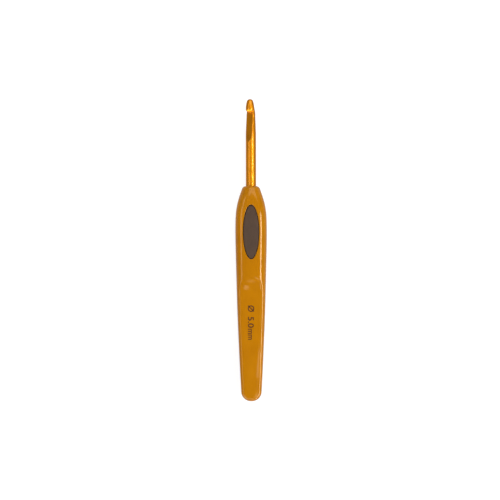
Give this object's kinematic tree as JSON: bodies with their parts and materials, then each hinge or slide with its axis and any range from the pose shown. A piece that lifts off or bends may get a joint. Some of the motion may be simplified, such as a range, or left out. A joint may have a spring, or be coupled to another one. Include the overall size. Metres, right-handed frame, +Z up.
{
  "type": "crochet hook",
  "caption": "Anodised aluminium crochet hook in a moulded ergonomic handle with a dished thumb rest and oval soft grip inlays.",
  "frame": {"origin": "under the middle of the whole hook, on the plane it rests on when it lies on its back", "axes": "+Y along the shaft to the tip, +Z up out of the thumb rest, +X to the right as the thumb rest is seen with the tip pointing away"},
  "size_m": [0.0156, 0.1486, 0.0115],
  "materials": {
    "anodised_shaft": "gold-amber anodised, polished",
    "handle_plastic": "glossy ochre moulding",
    "core_plastic": "plain moulded core",
    "grip_elastomer": "matte dark grey-brown soft elastomer"
  },
  "bodies": {
    "root": {"hook_shaft": "anodised_shaft", "front_shell": "handle_plastic", "back_shell": "handle_plastic", "tang_core": "core_plastic", "front_grip_inlay": "grip_elastomer", "back_grip_inlay": "grip_elastomer"}
  },
  "joints": []
}
